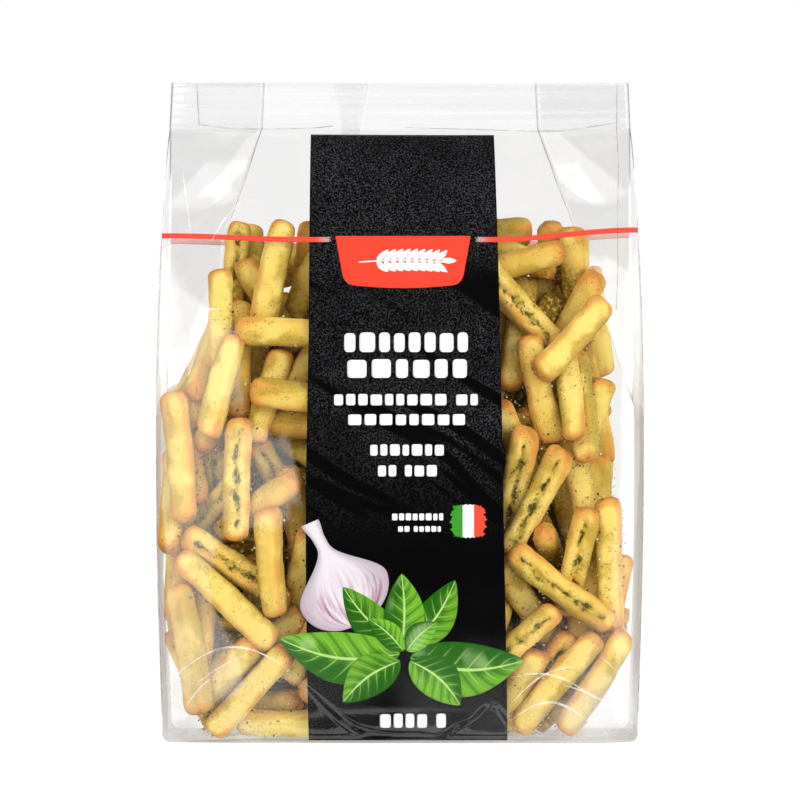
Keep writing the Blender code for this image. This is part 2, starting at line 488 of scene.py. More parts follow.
def bread_material():
    """Baked dough: pale faces, browned ends and edges, one olive side, herbs and splits, and painted shade, with
    some herb dust, deep in the heap.
    """
    material, tree, output = new_material("baked_dough")
    look = bpy.context.scene.breadstick_bag
    place = object_coordinates(tree)
    split, baked, tone, side = marks_of(tree, "bake")
    patches = noise(tree, place, 120.0, 3.0)
    golden = times(tree, times(tree, tone, 0.8), ramp(tree, patches, 0.35, 0.65, -0.25, 0.35), "ADD")
    color = mix(tree, ramp(tree, golden, 0.0, 1.0), look.dough_color[:], look.dough_golden[:])
    uneven = times(tree, times(tree, patches, 0.5, "SUBTRACT"), 1.3)
    olive = ramp(tree, times(tree, side, uneven, "ADD"), 0.58, 0.94)
    color = mix(tree, times(tree, olive, 0.66), color, look.herb_tint[:])
    browned = ramp(tree, times(tree, baked, uneven, "ADD"), 0.30, 1.0)
    color = mix(tree, browned, color, look.crust_color[:])
    toasted = ramp(tree, times(tree, baked, uneven, "ADD"), 1.0, 1.5, 0.0, 0.6)
    color = mix(tree, toasted, color, look.toast_color[:])
    specks = ramp(tree, noise(tree, place, 1500.0, 2.0, 0.6), 0.57, 0.68)
    sparse = ramp(tree, times(tree, noise(tree, place, 150.0, 2.0), times(tree, olive, 0.16), "ADD"), 0.42, 0.64)
    color = mix(tree, times(tree, times(tree, specks, sparse), 0.62), color, look.herb_shade[:])
    ragged = times(tree, noise(tree, place, 420.0, 3.0, 0.7), 1.5)
    inside = ramp(tree, times(tree, split, ragged, "ADD"), 0.95, 1.45)
    color = mix(tree, times(tree, inside, 0.6), color, look.herb_tint[:])
    herbs = times(tree, inside, ramp(tree, noise(tree, place, 430.0, 3.0, 0.65), 0.43, 0.55))
    color = mix(tree, times(tree, herbs, 0.90), color, look.herb_color[:])
    # Painted shade: the deeper a point lies in the heap, the more its colour turns to the dark dust colour with
    # herb grains; partly herb dust
    deep, _, _, _ = marks_of(tree, "deep")
    dust_and_shade = ramp(tree, times(tree, deep, times(tree, uneven, 0.5), "ADD"), 0.0, 1.0, 0.0, 0.80)
    color = mix(tree, dust_and_shade, color, look.dust_and_shade_color[:])
    grains = noise(tree, place, 900.0, 2.0, 0.6)
    color = mix(tree, times(tree, dust_and_shade, ramp(tree, grains, 0.52, 0.59, 0.0, 0.85)), color, look.herb_color[:])
    color = mix(tree, times(tree, dust_and_shade, ramp(tree, grains, 0.42, 0.36)), color, look.dough_color[:])
    rough = noise(tree, place, 1100.0, 4.0, 0.65)
    coarse = noise(tree, place, 260.0, 2.0)
    height = times(tree, times(tree, rough, 0.5), coarse, "ADD")
    bump = add(tree, "Bump", {"Strength": 0.5, "Distance": 0.0005, "Height": height})
    inputs = {"Base Color": color, "Roughness": 0.62, "Normal": bump.outputs[0], "Specular IOR Level": 0.15}
    surface = add(tree, "BsdfPrincipled", inputs)
    tree.links.new(surface.outputs[0], output.inputs["Surface"])
    return material


def crumb_material():
    """Crumbs and herb flakes, each grain with its own tone from its attribute."""
    material, tree, output = new_material("crumbs_and_herbs")
    tone, _, _, _ = marks_of(tree, "tone")
    grain = ramp(tree, noise(tree, object_coordinates(tree), 2500.0), 0.3, 0.7, -0.05, 0.05)
    tone = times(tree, tone, grain, "ADD")
    color = mix(tree, ramp(tree, tone, 0.28, 0.38), (0.045, 0.045, 0.016), (0.50, 0.33, 0.11))
    color = mix(tree, ramp(tree, tone, 0.72, 0.85), color, (0.92, 0.84, 0.62))
    surface = add(tree, "BsdfPrincipled", {"Base Color": color, "Roughness": 0.7})
    tree.links.new(surface.outputs[0], output.inputs["Surface"])
    return material


# ---------------------------------------------------------------- film


def film_heights():
    """Heights of the film's rows: even up to the seal, then fine enough for its crimps."""
    body = np.linspace(BASE_ROUNDING, SEAL_BOTTOM - 1.0, 190)
    seal = np.linspace(SEAL_BOTTOM, HEIGHT, 6 * CRIMPS + 1)
    return np.concatenate([body, seal])


def build_film():
    """The bag's film as one closed sheet, lofted through closed rows of points.

    Each row runs along the front, the right side fold, the back and the left side fold.
    The lowest rows turn under on a quarter circle, and flat ends close the sheet.
    """
    front = np.linspace(-1.0, 1.0, 171)[:-1]
    back = np.linspace(-1.0, 1.0, 113)[:-1]
    v = np.linspace(-1.0, 1.0, 41)[:-1]
    rows = []
    turns = np.linspace(0.0, 0.5 * np.pi, 6)[:-1]
    heights = np.concatenate([BASE_ROUNDING * (1.0 - np.cos(turns)), film_heights()])
    insets = np.concatenate([BASE_ROUNDING * (1.0 - np.sin(turns)), 0.0 * film_heights()])
    for z, inset in zip(heights, insets):
        width = half_width(z)
        row = np.concatenate(
            [
                on_panel(front * width, z, FRONT),
                on_side(v, z, 1),
                on_panel(-back * width, z, BACK),
                on_side(-v, z, -1),
            ]
        )
        row[:, 0] *= 1.0 - inset / width
        row[:, 1] *= 1.0 - inset / half_depth(z) if inset > 0.0 else 1.0
        rows.append(row)
    columns = len(rows[0])
    faces = grid_faces(len(rows), columns, wrap=True)
    faces.append(list(range(columns))[::-1])
    last = (len(rows) - 1) * columns
    faces.append(list(range(last, last + columns)))
    return make_piece("film", np.concatenate(rows), faces, film_material())


def build_back_seam():
    """The back's overlap seam: a flat strip of film up the back that narrows in the seal."""
    z = np.linspace(3.0, HEIGHT - 0.2, 200)[:, None]
    narrowing = smooth_step((z - SEAL_BOTTOM) / (HEIGHT - SEAL_BOTTOM))
    half = 3.0 + 2.2 * narrowing
    x = -15.2 + np.linspace(-1.0, 1.0, 9)[None, :] * half
    outer = on_panel(x, z + 0.0 * x, BACK, -0.30)
    inner = on_panel(x, z + 0.0 * x, BACK, -0.22)
    points, faces = slab(outer[:, ::-1], inner[:, ::-1])
    return make_piece("back_seam", points, faces, film_material())


# Creases in the front film: the start's x and height, the end's, how far the middle bows
# upwards, and half the width.
CREASES = [
    (-72, 16, -30, 20, 11, 0.30),
    (-61, 18, -45, 27, 1, 0.22),
    (-66, 8, -54, 21, 2, 0.2),
    (33, 20, 59, 13, 4, 0.28),
    (33, 12, 52, 23, 3, 0.2),
    (33, 7, 57, 6, 6, 0.35),
    (48, 18, 71, 5, 2, 0.26),
    (60, 26, 70, 12, 2, 0.2),
    (-60, 130, -54, 130, 0, 0.35),
    (-57, 150, -47, 163, 2, 0.25),
    (-66, 172, -63, 152, 1, 0.25),
]
# Fold lines on the front film: points in x and height, from end to end.
FOLD_LINES = [
    [(-62.1, 199.4), (-61.9, 193.0), (-61.5, 186.9)],
    [(-60.7, 187.1), (-53.7, 186.1), (-44.5, 185.8), (-33.7, 185.9), (-26.1, 186.2), (-20.5, 186.8)],
    [(1.5, 186.5), (9.2, 186.2), (24.5, 185.9), (39.9, 185.3), (49.1, 185.3), (58.3, 186.5), (66.3, 187.8)],
    [(66.5, 199.4), (66.4, 187.1), (66.3, 172.8), (65.6, 157.0), (65.5, 142.3), (64.8, 129.7)],
]
FOLD_HALF = 0.11


def build_creases():
    """Creases just outside the film, a painted highlight on partly whitened film, along bowed lines that thin out
    at both ends.
    """
    parts = []
    t = np.linspace(0.0, 1.0, 41)[:, None]
    v = np.linspace(-1.0, 1.0, 5)[None, :]
    for x0, z0, x1, z1, bow, half in CREASES:
        length = math.hypot(x1 - x0, z1 - z0)
        across = ((z0 - z1) / length, (x1 - x0) / length)
        width = v * (0.02 + half * np.sin(np.pi * t) ** 0.7)
        x = x0 + (x1 - x0) * t + across[0] * width
        z = z0 + (z1 - z0) * t + across[1] * width + bow * np.sin(np.pi * t)
        outer = on_panel(x, z, FRONT, -0.10)
        inner = on_panel(x, z, FRONT, -0.04)
        parts.append(slab(outer[:, ::-1], inner[:, ::-1]))
    points, faces = join_parts(parts)
    # The white diffuse share is a painted highlight along the crease tops, partly stress-whitened film
    material = crease_material("crease_highlight_and_whitening", 1.0, 0.08, 0.34)
    return make_piece("creases", points, faces, material)


def build_folds():
    """Thin fold lines of painted shade just outside the film, carried along smooth paths of a few points.

    The two outer edges of the front panel are folds as well.
    """
    z = np.linspace(9.0, SEAL_BOTTOM, 24)
    edges = [np.stack([side * (half_width(z) - 0.22), z], axis=1) for side in (-1.0, 1.0)]
    paths = [np.array(path, float) for path in FOLD_LINES] + edges
    parts = []
    for path in paths:
        way = np.linspace(0.0, len(path) - 1.0, 10 * len(path))
        x = np.interp(way, np.arange(len(path)), path[:, 0])[:, None]
        z = np.interp(way, np.arange(len(path)), path[:, 1])[:, None]
        along_x, along_z = np.gradient(x[:, 0])[:, None], np.gradient(z[:, 0])[:, None]
        size = np.hypot(along_x, along_z)
        width = np.linspace(-1.0, 1.0, 3)[None, :] * FOLD_HALF
        across_x, across_z = -along_z / size * width, along_x / size * width
        outer = on_panel(x + across_x, z + across_z, FRONT, -0.09)
        inner = on_panel(x + across_x, z + across_z, FRONT, -0.04)
        parts.append(slab(outer[:, ::-1], inner[:, ::-1]))
    points, faces = join_parts(parts)
    # The dark diffuse share is painted shade where the folds and the panel's edges bend the light
    material = crease_material("fold_line_shade", 0.16, 0.10, 0.42)
    return make_piece("fold_lines", points, faces, material)


# ---------------------------------------------------------------- print


def band_edges(z):
    """The band's left and right edge at height z; it widens to the right towards the base."""
    right = BAND_RIGHT_BASE + (BAND_RIGHT_TOP - BAND_RIGHT_BASE) * z / BAND_TOP
    return BAND_LEFT - 0.8 * np.sin(np.pi * np.clip(z / 120.0, 0.0, 1.0)), right


def build_band(facing):
    """The black print down the middle of the front or back, a slab just inside the film."""
    z = np.linspace(1.0, BAND_TOP, 210)[:, None]
    left, right = band_edges(z)
    x = left + (right - left) * np.linspace(0.0, 1.0, 73)[None, :]
    points, faces = printed(x, z + 0.0 * x, facing, BAND_INSET)
    name = "band_front" if facing == FRONT else "band_back"
    return make_piece(name, points, faces, slate_material())


def line_material():
    """Red ink, paler on its inner face, that breaks up where the line runs out over the band."""
    material, tree, output = new_material("line_red")
    aside = add(tree, "SeparateXYZ", {0: add(tree, "TexCoord").outputs["Object"]}).outputs["X"]
    away = add(tree, "Math", {0: times(tree, aside, 0.001, "SUBTRACT")}, operation="ABSOLUTE").outputs[0]
    grain = noise(tree, object_coordinates(tree), 2600.0, 1.0)
    left = times(tree, ramp(tree, away, 0.0190, 0.0262), times(tree, grain, 0.5), "ADD")
    kept = ramp(tree, left, 0.55, 0.8)
    pale = ramp(tree, times(tree, away, 0.0238, "SUBTRACT"), -0.002, 0.003)
    red = mix(tree, pale, (0.42, 0.36, 0.33), (0.93, 0.065, 0.035))
    outwards = add(tree, "SeparateXYZ", {0: add(tree, "NewGeometry").outputs["True Normal"]}).outputs["Y"]
    side = add(tree, "SeparateXYZ", {0: add(tree, "TexCoord").outputs["Object"]}).outputs["Y"]
    inner = ramp(tree, times(tree, outwards, side), 0.0, -0.004)
    red = mix(tree, times(tree, inner, 0.85), red, (1.0, 0.72, 0.74))
    surface = add(tree, "BsdfPrincipled", {"Base Color": red, "Roughness": 0.5, "Alpha": kept})
    tree.links.new(surface.outputs[0], output.inputs["Surface"])
    return material


def build_line(facing):
    """The thin red line across the bag, broken by the plate; it rises towards both sides."""
    parts = []
    for start, end in ((-0.996, -0.275), (0.305, 0.996)):
        z = LINE_HEIGHT + np.linspace(-0.8, 0.8, 4)[:, None]
        x = np.linspace(start, end, 70)[None, :] * half_width(LINE_HEIGHT)
        share = x / half_width(LINE_HEIGHT)
        rise = 3.0 * smooth_step((share - 0.4) / 0.6) + 1.2 * smooth_step((-share - 0.4) / 0.6)
        parts.append(printed(x, z + rise, facing, 0.16))
    points, faces = join_parts(parts)
    name = "line_front" if facing == FRONT else "line_back"
    return make_piece(name, points, faces, line_material())


def rounded_field(x0, x1, z0, z1, corner, inset, rows=24, columns=24, facing=FRONT):
    """A printed rectangle with rounded corners, a grid squeezed at the top and the bottom.

    Near its top and bottom each row is shortened by what a quarter circle takes off.
    """
    t = 0.5 - 0.5 * np.cos(np.pi * np.linspace(0.0, 1.0, rows))[:, None]
    z = z0 + (z1 - z0) * t
    corner = min(corner, 0.499 * (z1 - z0), 0.499 * (x1 - x0))
    near = np.clip(np.minimum(z - z0, z1 - z), 0.0, corner)
    cut = corner - np.sqrt(np.maximum(corner**2 - (corner - near) ** 2, 0.0))
    x = x0 + cut + (x1 - x0 - 2.0 * cut) * np.linspace(0.0, 1.0, columns)[None, :]
    return printed(x, z + 0.0 * x, facing, inset)


def build_plate():
    """The plain red plate over the band's head, sides leaning in, a rounded lower edge."""
    t = np.linspace(0.0, 1.0, 40)[:, None]
    v = np.linspace(-1.0, 1.0, 61)[None, :]
    corner = 1.0 - np.sqrt(np.maximum(1.0 - np.clip((0.22 - t) / 0.22, 0.0, 1.0) ** 2, 0.0))
    half = 17.6 + 2.8 * t - 2.6 * corner
    x = 0.9 + v * half
    z = 137.2 + 15.0 * t - 0.9 * (1.0 - v * v) * (1.0 - t)
    points, faces = printed(x, z + 0.0 * x, FRONT, 0.20)
    return make_piece("plate", points, faces, ink_material("plate_red", (0.93, 0.068, 0.038)))


def blade(x0, z0, x1, z1, width, bow, inset, rows=16, columns=7, facing=FRONT):
    """A pointed leaf shape printed from a base to a tip, and its marks for the material.

    Its half width is width times sin(pi t^0.85)^0.8, and its middle line bows sideways by
    half a sine wave. The marks say how far along and across each point lies.
    """
    t = np.linspace(0.0, 1.0, rows)[:, None]
    v = np.linspace(-1.0, 1.0, columns)[None, :]
    length = math.hypot(x1 - x0, z1 - z0)
    along = ((x1 - x0) / length, (z1 - z0) / length)
    across = (along[1], -along[0])
    side = v * (0.01 + width * np.sin(np.pi * t**0.85) ** 0.8) + bow * np.sin(np.pi * t)
    x = x0 + along[0] * length * t + across[0] * side
    z = z0 + along[1] * length * t + across[1] * side
    points, faces = printed(x, z, facing, inset)
    marks = np.stack(np.broadcast_arrays(t, 0.5 + 0.5 * v), axis=-1).reshape(-1, 2)
    return points, faces, np.concatenate([marks, marks])


def build_ear():
    """A white ear of grain on the plate: a stalk with paired kernels along it."""
    parts = []
    x = -12.4 + np.linspace(0.0, 1.0, 40)[None, :] * 26.0
    z = 144.2 + np.linspace(-0.22, 0.22, 3)[:, None] + 0.6 * np.sin(np.pi * (x + 12.4) / 26.0)
    parts.append(printed(x, z, FRONT, 0.15))
    for k in range(9):
        stand = -7.0 + 2.2 * k
        base = 144.3 + 0.6 * math.sin(math.pi * (stand + 12.4) / 26.0)
        for side in (-1, 1):
            parts.append(blade(stand, base + 0.2 * side, stand + 3.6, base + 3.4 * side, 0.95, 0.2, 0.15)[:2])
    parts.append(blade(12.6, 144.7, 17.0, 144.6, 0.9, 0.0, 0.15)[:2])
    points, faces = join_parts(parts)
    return make_piece("plate_ornament", points, faces, ink_material("ornament_white", (0.93, 0.93, 0.94)))


# Where the printed words stood: left and right end, lower and upper edge, width of a block
# as a share of its height, and how many blocks each word has.
BLOCK_ROWS = [
    (-16.7, 20.3, 117.1, 123.0, 0.62, (8,)),
    (-15.8, 20.0, 109.4, 115.0, 0.62, (6,)),
    (-19.7, 23.2, 101.2, 104.6, 0.56, (9, 2)),
    (-15.5, 19.4, 95.3, 98.6, 0.56, (8,)),
    (-8.9, 13.1, 86.2, 89.6, 0.56, (7,)),
    (-6.6, 11.0, 80.0, 83.4, 0.56, (2, 3)),
    (-2.4, 12.9, 66.9, 69.0, 0.60, (8,)),
    (-0.6, 12.2, 63.5, 65.2, 0.60, (2, 5)),
    (-6.0, 13.7, 4.9, 9.2, 0.58, (4, 1)),
]


def build_blocks():
    """Rows of plain white rounded blocks in place of words, one space between two words."""
    parts = []
    random = np.random.default_rng(12)
    for left, right, low, high, share, words in BLOCK_ROWS:
        widths = random.uniform(0.75, 1.25, sum(words))
        gap = 0.30
        spaces = gap * (sum(words) - 1) + 0.7 * (len(words) - 1)
        unit = (right - left) / (widths.sum() + spaces)
        last_of_word = np.cumsum(words) - 1
        x = left
        for k, width in enumerate(widths * unit):
            tall = high if k % 3 else high - 0.04 * (high - low)
            corner = share * 0.5 * (high - low)
            parts.append(rounded_field(x, x + width, low, tall, 0.6 * corner, 0.16, 10, 6))
            x += width + gap * unit + (0.7 * unit if k in last_of_word else 0.0)
    points, faces = join_parts(parts)
    return make_piece("blocks", points, faces, ink_material("block_white", (0.93, 0.94, 0.95)))


def build_stripes():
    """Three upright stripes, green, white and red, with brushed outer ends."""
    colors = ((0.055, 0.33, 0.03), (0.90, 0.90, 0.91), (0.90, 0.085, 0.045))
    for k, (name, color) in enumerate(zip(("green", "white", "red"), colors)):
        x0 = 15.2 + 3.45 * k
        t = np.linspace(0.0, 1.0, 30)[:, None]
        ragged = 0.35 * np.sin(23.0 * t + 2.0 * k) + 0.25 * np.sin(51.0 * t + k)
        left = x0 + (0.8 * (2.0 * t - 1.0) ** 2 + ragged if k == 0 else 0.0 * t)
        right = x0 + 3.45 - (0.8 * (2.0 * t - 1.0) ** 2 + ragged if k == 2 else 0.0 * t)
        v = np.linspace(0.0, 1.0, 14)[None, :]
        x = left + (right - left) * v
        bulge = 0.5 * np.sin(np.pi * (k + v) / 3.0) + 0.18 * np.sin(17.0 * v + 3.0 * k)
        z = 62.2 + 8.9 * t + bulge * (2.0 * t - 1.0)
        points, faces = printed(x, z, FRONT, 0.16)
        make_piece("stripe_" + name, points, faces, ink_material("stripe_" + name, color))


# Leaves of the printed sprig, the rearmost first: base x and height, tip x and height, half
# the width, sideways bow and tone.
LEAVES = [
    (1.0, 29.0, -17.0, 47.0, 5.6, -1.6, 0.9),
    (2.0, 29.0, 16.5, 49.0, 5.8, 1.8, 0.7),
    (0.5, 28.0, 0.5, 51.0, 6.0, 0.8, 0.35),
    (0.0, 27.0, -36.0, 31.5, 7.8, -3.4, 0.3),
    (3.0, 26.0, 37.0, 25.0, 8.2, 3.2, 0.5),
    (0.0, 25.0, -17.0, 12.6, 6.2, 1.8, 0.6),
    (3.0, 25.0, 18.0, 11.8, 6.4, -1.8, 0.25),
    (1.0, 28.0, -9.5, 37.5, 3.6, 0.8, 0.0),
    (2.0, 28.0, 11.0, 36.5, 3.8, -0.8, 0.1),
]


def build_leaves():
    """The printed sprig of pointed leaves that spreads over the band's lower part."""
    parts, marks = [], []
    for k, (x0, z0, x1, z1, width, bow, tone) in enumerate(LEAVES):
        points, faces, places = blade(x0, z0, x1, z1, width, bow, 0.34 - 0.03 * k, 48, 25)
        parts.append((points, faces))
        marks.append(np.column_stack([places, np.full(len(places), tone)]))
    points, faces = join_parts(parts)
    leaves = make_piece("leaves", points, faces, leaf_material())
    set_marks(leaves, "leaf", np.concatenate(marks))
    return leaves


def build_bulb():
    """The printed pale bulb behind the leaves, leaning to the left, its neck at the top.

    From its foot its half width rises on a quarter circle, stays full, and falls to the
    neck along a smooth step.
    """
    t = np.linspace(0.0, 1.0, 60)[:, None]
    v = np.linspace(-1.0, 1.0, 33)[None, :]
    foot = np.sqrt(np.maximum(1.0 - (1.0 - np.minimum(t / 0.34, 1.0)) ** 2, 0.0))
    half = foot * (1.9 + 12.2 * (1.0 - smooth_step((t - 0.34) / 0.44))) + 0.02
    half = half + 0.9 * smooth_step((t - 0.84) / 0.16)
    side, up = v * half, 33.0 * t - 0.8 * (v * v) * (1.0 - t)
    lean = math.radians(-24.0)
    x = -13.5 + side * math.cos(lean) + up * math.sin(lean) + 1.2 * np.sin(np.pi * t)
    z = 36.0 - side * math.sin(lean) + up * math.cos(lean)
    points, faces = printed(x, z, FRONT, 0.37)
    bulb = make_piece("bulb", points, faces, bulb_material())
    marks = np.stack(np.broadcast_arrays(t, 0.5 + 0.5 * v), axis=-1).reshape(-1, 2)
    set_marks(bulb, "bulb", np.concatenate([marks, marks]))
    return bulb


def build_back_fields():
    """Plain pale fields on the back's band, as a back panel has."""
    parts = [rounded_field(-24.0, 22.0, 96.0, 132.0, 1.5, 0.24, 40, 50, BACK)]
    for k in range(7):
        right = 22.0 - (6.0 * (k % 3 == 2))
        parts.append(rounded_field(-24.0, right, 84.0 - 4.6 * k, 86.2 - 4.6 * k, 1.0, 0.24, 8, 40, BACK))
    points, faces = join_parts(parts)
    return make_piece("back_fields", points, faces, ink_material("field_grey", (0.62, 0.62, 0.60)))


# ---------------------------------------------------------------- breadsticks

# Sticks that lie against the front film: the middle's x and height, the lean of the top to the
# right in degrees, the length, how far behind the film the stick starts, 1 where the dough has
# split open, and its turn about its own length.
FRONT_STICKS = [
    (-66, 86, -6, 40, 0, 0, 0),
    (-54, 107, 13, 32, 0, 0, 10),
    (-29, 123, -88, 41, 1, 0, 0),
    (-25, 103, -85, 40, 2, 0, 20),
    (-24, 95, -85, 40, 5, 0, -20),
    (-49, 79, 4, 37, 0, 1, 0),
    (-56, 74, -10, 30, 6, 1, 10),
    (-43, 71, 54, 31, 4, 0, 0),
    (-39, 54, -5, 33, 3, 0, 15),
    (-31, 66, -13, 34, 7, 0, 0),
    (-49, 52, -53, 39, 3, 1, -25),
    (-52, 43, -49, 39, 0, 0, 0),
    (-69, 72, 4, 31, 6, 0, 20),
    (-65, 28, -3, 39, 1, 0, 40),
    (-59, 39, 8, 32, 9, 0, 0),
    (-50, 28, 7, 30, 11, 0, 0),
    (-54, 19, 47, 30, 5, 0, 20),
    (-45, 15, 44, 35, 1, 0, 0),
    (-27, 31, 27, 30, 5, 0, 0),
    (-46, 10, 79, 33, 6, 0, 0),
    (-33, 3, -88, 34, 3, 0, 20),
    (-30, 50, 14, 30, 6, 0, 0),
    (-51, 146, 4, 30, 8, 1, 0),
    (-39, 141, 11, 39, 2, 0, 0),
    (-29, 142, 5, 36, 6, 0, 0),
    (-40, 131, -29, 33, 5, 0, 0),
    (-54, 127, 3, 31, 4, 0, 0),
    (-49, 115, 4, 36, 7, 0, 0),
    (-47, 141, 3, 34, 11, 0, 0),
    (-30, 134, 25, 30, 5, 0, 10),
    (-45, 103, 9, 36, 8, 0, 0),
    (-40, 104, 21, 30, 4, 0, 0),
    (-54, 90, 72, 34, 12, 0, 0),
    (-38, 92, -58, 34, 12, 0, 0),
    (-27, 115, 29, 30, 7, 0, 0),
    (-36, 76, -24, 33, 8, 1, 0),
    (31, 143, -102, 39, 1, 0, 0),
    (34, 133, -43, 39, 2, 1, -20),
    (36, 123, 11, 35, 6, 0, 0),
    (42, 125, 13, 32, 5, 0, 0),
    (52, 126, 30, 34, 3, 0, 0),
    (52, 121, 41, 30, 0, 0, 0),
    (42, 106, -13, 33, 0, 0, 0),
    (51, 107, -4, 33, 2, 0, 0),
    (55, 101, -3, 34, 5, 0, 30),
    (57, 94, 15, 32, 8, 0, 0),
    (60, 71, 5, 31, 9, 0, 0),
    (35, 77, 13, 35, 3, 1, 0),
    (41, 72, 30, 36, 1, 1, 0),
    (54, 80, -11, 33, 5, 0, 0),
    (52, 66, -17, 34, 7, 0, 0),
    (53, 54, 15, 34, 3, 1, 0),
    (63, 53, -4, 41, 1, 0, 0),
    (57, 45, 16, 35, 5, 0, 10),
    (48, 46, -53, 38, 1, 1, -20),
    (60, 42, -26, 30, 6, 0, 0),
    (35, 30, 46, 32, 3, 1, 0),
    (42, 17, 30, 37, 5, 1, 0),
    (35, 14, 24, 30, 3, 0, 0),
    (47, 18, 39, 38, 1, 0, 15),
    (59, 17, 31, 37, 0, 0, 0),
    (29, 115, 10, 36, 8, 0, 0),
    (36, 88, -22, 32, 9, 0, 0),
    (66, 40, 22, 32, 9, 0, 0),
    (39, 40, -31, 35, 9, 0, 0),
]


def pile_top(x):
    """Height of the heap of sticks at x, lower towards both sides."""
    left = 52.0 * smooth_step((-x - 50.0) / 14.0)
    right = 26.0 * smooth_step((x - 50.0) / 20.0)
    return 0.79 * HEIGHT - left - right


def corner_gap(z, side):
    """How far the contents stay out of the lower corners at height z, more on the right."""
    return np.where(side > 0, 15.0, 10.0) * (1.0 - smooth_step(z / 34.0))


def clear_strip(z, side):
    """How far the sticks deeper in the bag stay back from its sides above the lowest part."""
    return np.where(side > 0, 6.5, 0.0) * smooth_step((z - 40.0) / 16.0)


def nearest_on_rods(p, d, q, e):
    """Where two rods come nearest: shares s and t from -1 to 1 along half vectors d and e."""
    r = p - q
    dd, ee, de = (d * d).sum(1), (e * e).sum(1), (d * e).sum(1)
    dr, er = (d * r).sum(1), (e * r).sum(1)
    s = np.clip((de * er - dr * ee) / np.maximum(dd * ee - de * de, 1e-9), -1.0, 1.0)
    t = np.clip((er + s * de) / ee, -1.0, 1.0)
    s = np.clip((t * de - dr) / dd, -1.0, 1.0)
    return s, t


def pull_inside(ends, reach, backed):
    """Moves rod ends back inside the film: base, heap top, sides and then front and back."""
    x, y, z = ends[..., 0], ends[..., 1], ends[..., 2]
    lowest = 1.2 * reach + 0.9
    z[:] = np.clip(z, lowest, np.maximum(pile_top(x) - reach, lowest + 0.5))
    for side in (-1, 1):
        corner = np.maximum(half_depth(z) - 0.6 * CORNER_SOFTNESS, 4.0)
        open_share = 1.0 - np.clip(np.abs(y) / corner, 0.0, 1.0)
        limit = half_width(z) - tuck(z, side) * open_share - reach - 0.8
        back = corner_gap(z, side) + np.where(backed > 0.0, clear_strip(z, side), 0.0)
        x[:] = np.minimum(x * side, limit - back) * side
    smooth = half_depth(z) + 0.5 * np.maximum(panel_depth(x, z, FRONT) - half_depth(z), -6.0)
    folded = 0.6 + 2.2 * (1.0 - smooth_step((z - 6.0) / 9.0))
    ahead = np.minimum(smooth, panel_depth(x, z, FRONT) - 0.4) - reach - folded
    rear = np.minimum(smooth, panel_depth(x, z, BACK) - 0.4) - reach - folded
    y[:] = np.clip(y, backed - np.maximum(ahead, 0.5), np.maximum(rear, 0.5))


def settle(ends, lengths, radii, loose, rounds=800):
    """Pushes overlapping rods apart while they sink, until the heap is at rest.

    ends holds both ends of each rod, and loose is 1 where a rod may move along an axis.
    Each round moves the rods a little down and outwards, shares every overlap between the
    nearer ends of both rods, sets the lengths right and pulls the ends inside the film.
    """
    count = len(ends)
    first, second = np.triu_indices(count, 1)
    shown = loose[:, 0] < 0.5
    for step in range(rounds):
        share = step / rounds
        growth = np.where(shown, 1.0, min(1.0, 0.45 + 0.9 * share))
        reach = radii * growth
        fall = 0.03 * max(0.0, 1.0 - 1.3 * share)
        ends[..., 2] -= fall * loose[:, None, 2]
        outward = np.where(shown, -1.0, np.sign(ends[..., 1].mean(1)))
        ends[..., 1] += 0.02 * (1.0 - share) * outward[:, None]
        middle = ends.mean(1)
        half = 0.5 * (ends[:, 1] - ends[:, 0])
        span = 0.5 * (lengths[first] + lengths[second]) + reach[first] + reach[second]
        gap = middle[first] - middle[second]
        near = (gap * gap).sum(1) < span * span
        i, j = first[near], second[near]
        s, t = nearest_on_rods(middle[i], half[i], middle[j], half[j])
        apart = middle[i] + half[i] * s[:, None] - middle[j] - half[j] * t[:, None]
        distance = np.sqrt((apart * apart).sum(1)) + 1e-6
        overlap = reach[i] + reach[j] - distance
        hit = overlap > 0.0
        i, j, s, t = i[hit], j[hit], s[hit], t[hit]
        normal = apart[hit] / distance[hit, None]
        overlap = overlap[hit]
        move = np.zeros_like(ends)
        hits = np.zeros((count, 2))
        freedom_i = (loose[i] * normal * normal).sum(1)
        freedom_j = (loose[j] * normal * normal).sum(1)
        push = overlap / np.maximum(freedom_i + freedom_j, 0.3)
        for k, along, sign in ((i, s, 1.0), (j, t, -1.0)):
            for end, weight in ((0, 0.5 - 0.5 * along), (1, 0.5 + 0.5 * along)):
                shift = sign * normal * (push * 2.0 * weight)[:, None] * loose[k]
                np.add.at(move[:, end], k, shift)
                np.add.at(hits[:, end], k, weight)
        ends += move / np.maximum(hits, 1.0)[..., None]
        middle = ends.mean(1)
        half = 0.5 * (ends[:, 1] - ends[:, 0])
        size = np.sqrt((half * half).sum(1))
        stretched = half * (0.5 * lengths / size)[:, None]
        depth_only = half.copy()
        flat = np.sqrt(np.maximum(half[:, 0] ** 2 + half[:, 2] ** 2, 1e-6))
        slope = np.clip(half[:, 1], -0.6 * flat, 0.6 * flat)
        depth_only[:, 1] = slope
        half = np.where(shown[:, None], depth_only, stretched)
        ends[:, 0], ends[:, 1] = middle - half, middle + half
        backed = np.where(shown, 0.0, 5.0)
        pull_inside(ends, reach[:, None], backed[:, None])
    return ends


